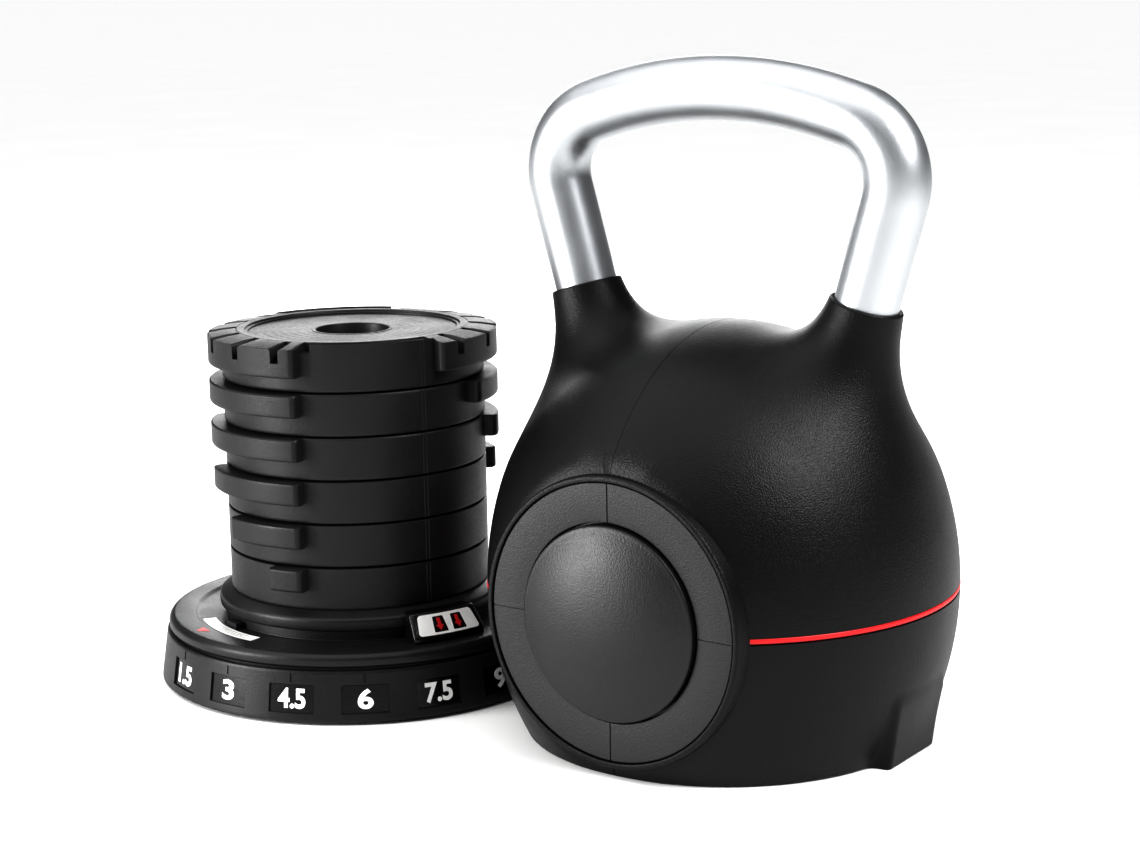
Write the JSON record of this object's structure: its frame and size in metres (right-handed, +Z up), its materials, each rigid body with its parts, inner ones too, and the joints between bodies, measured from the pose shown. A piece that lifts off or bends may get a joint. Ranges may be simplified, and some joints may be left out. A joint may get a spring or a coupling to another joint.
{
  "type": "adjustable kettlebell",
  "caption": "Adjustable kettlebell: hollow round bell with a curved tube handle beside its dial dock, which holds a stack of lugged weight plates.",
  "frame": {"origin": "centre of the dock's middle foot, on the floor, on the dock's axis", "axes": "+X from the dock towards the bell, +Y from the front of the bell to its back, +Z up"},
  "size_m": [0.4558, 0.2467, 0.3393],
  "materials": {
    "dock_plastic": "moulded ABS with a fine spark texture",
    "number_white": "recessed tile with printed white numeral",
    "rubber": "matte",
    "steel": "zinc plated",
    "glide_plastic": "low-friction polymer",
    "white_plastic": "smooth printed inset",
    "red_print": "printed mark",
    "label_film": "printed film",
    "shell_plastic": "moulded ABS, fine grained satin",
    "red_band": "smooth moulded inlay",
    "ring_plastic": "moulded ABS, satin grain",
    "cap_plastic": "moulded ABS, fine grained satin",
    "handle_aluminium": "satin anodised",
    "aluminium": "turned",
    "inner_plastic": "moulded glass-filled nylon",
    "plate_plastic": "moulded polypropylene",
    "iron": "cast and painted"
  },
  "bodies": {
    "dock": {"number_ring": "dock_plastic", "number_tiles": "number_white", "base_pan": "dock_plastic", "rubber_feet": "rubber", "centre_collar": "dock_plastic", "collar_screws": "steel", "centre_post": "dock_plastic", "glide_ring": "glide_plastic"},
    "turntable": {"turntable_disc": "dock_plastic", "lifting_blocks": "dock_plastic", "arrow_plates": "white_plastic", "pointer": "red_print", "guide_label": "label_film", "locating_tab": "dock_plastic"},
    "plate_1": {"plate_1_jacket": "plate_plastic", "plate_1_core": "iron"},
    "plate_2": {"plate_2_jacket": "plate_plastic", "plate_2_core": "iron"},
    "plate_3": {"plate_3_jacket": "plate_plastic", "plate_3_core": "iron"},
    "plate_4": {"plate_4_jacket": "plate_plastic", "plate_4_core": "iron"},
    "plate_5": {"plate_5_jacket": "plate_plastic", "plate_5_core": "iron"},
    "plate_6": {"plate_6_jacket": "plate_plastic", "plate_6_core": "iron"},
    "bell": {"shell_upper_right": "shell_plastic", "shell_upper_left": "shell_plastic", "shell_lower_right": "shell_plastic", "shell_lower_left": "shell_plastic", "band_right": "red_band", "band_left": "red_band", "medal_ring_front": "ring_plastic", "medal_ring_back": "ring_plastic", "medal_cap_front": "cap_plastic", "medal_cap_back": "cap_plastic", "handle_tube": "handle_aluminium", "handle_plugs": "aluminium", "handle_screws": "steel", "carrier_sleeve": "inner_plastic", "sleeve_screws": "steel", "lock_bridge": "inner_plastic", "bridge_screws": "steel", "lock_spring": "steel"},
    "lock": {"lock_plate": "inner_plastic"}
  },
  "joints": [
    {"name": "dial_turn", "type": "hinge", "parent": "dock", "child": "turntable", "pos_m": [0, 0, 0.033], "axis": [0, 0, 1], "range_deg": [0, 123]},
    {"name": "plate_6_lift", "type": "slide", "parent": "dock", "child": "plate_6", "axis": [0, 0, 1], "range_m": [0, 0.141]},
    {"name": "plate_5_lift", "type": "slide", "parent": "plate_6", "child": "plate_5", "axis": [0, 0, 1], "range_m": [0, 0.118]},
    {"name": "plate_4_lift", "type": "slide", "parent": "plate_5", "child": "plate_4", "axis": [0, 0, 1], "range_m": [0, 0.094]},
    {"name": "plate_3_lift", "type": "slide", "parent": "plate_4", "child": "plate_3", "axis": [0, 0, 1], "range_m": [0, 0.071]},
    {"name": "plate_2_lift", "type": "slide", "parent": "plate_3", "child": "plate_2", "axis": [0, 0, 1], "range_m": [0, 0.048]},
    {"name": "plate_1_lift", "type": "slide", "parent": "plate_2", "child": "plate_1", "axis": [0, 0, 1], "range_m": [0, 0.025]},
    {"name": "bell_lift", "type": "slide", "parent": "dock", "child": "bell", "axis": [0, 0, 1], "range_m": [0, 0.25]},
    {"name": "lock_rise", "type": "slide", "parent": "bell", "child": "lock", "axis": [0, 0, 1], "range_m": [0, 0.008], "stiffness_N_per_m": 300, "springref_m": -0.01, "deforming": ["lock_spring"]}
  ]
}
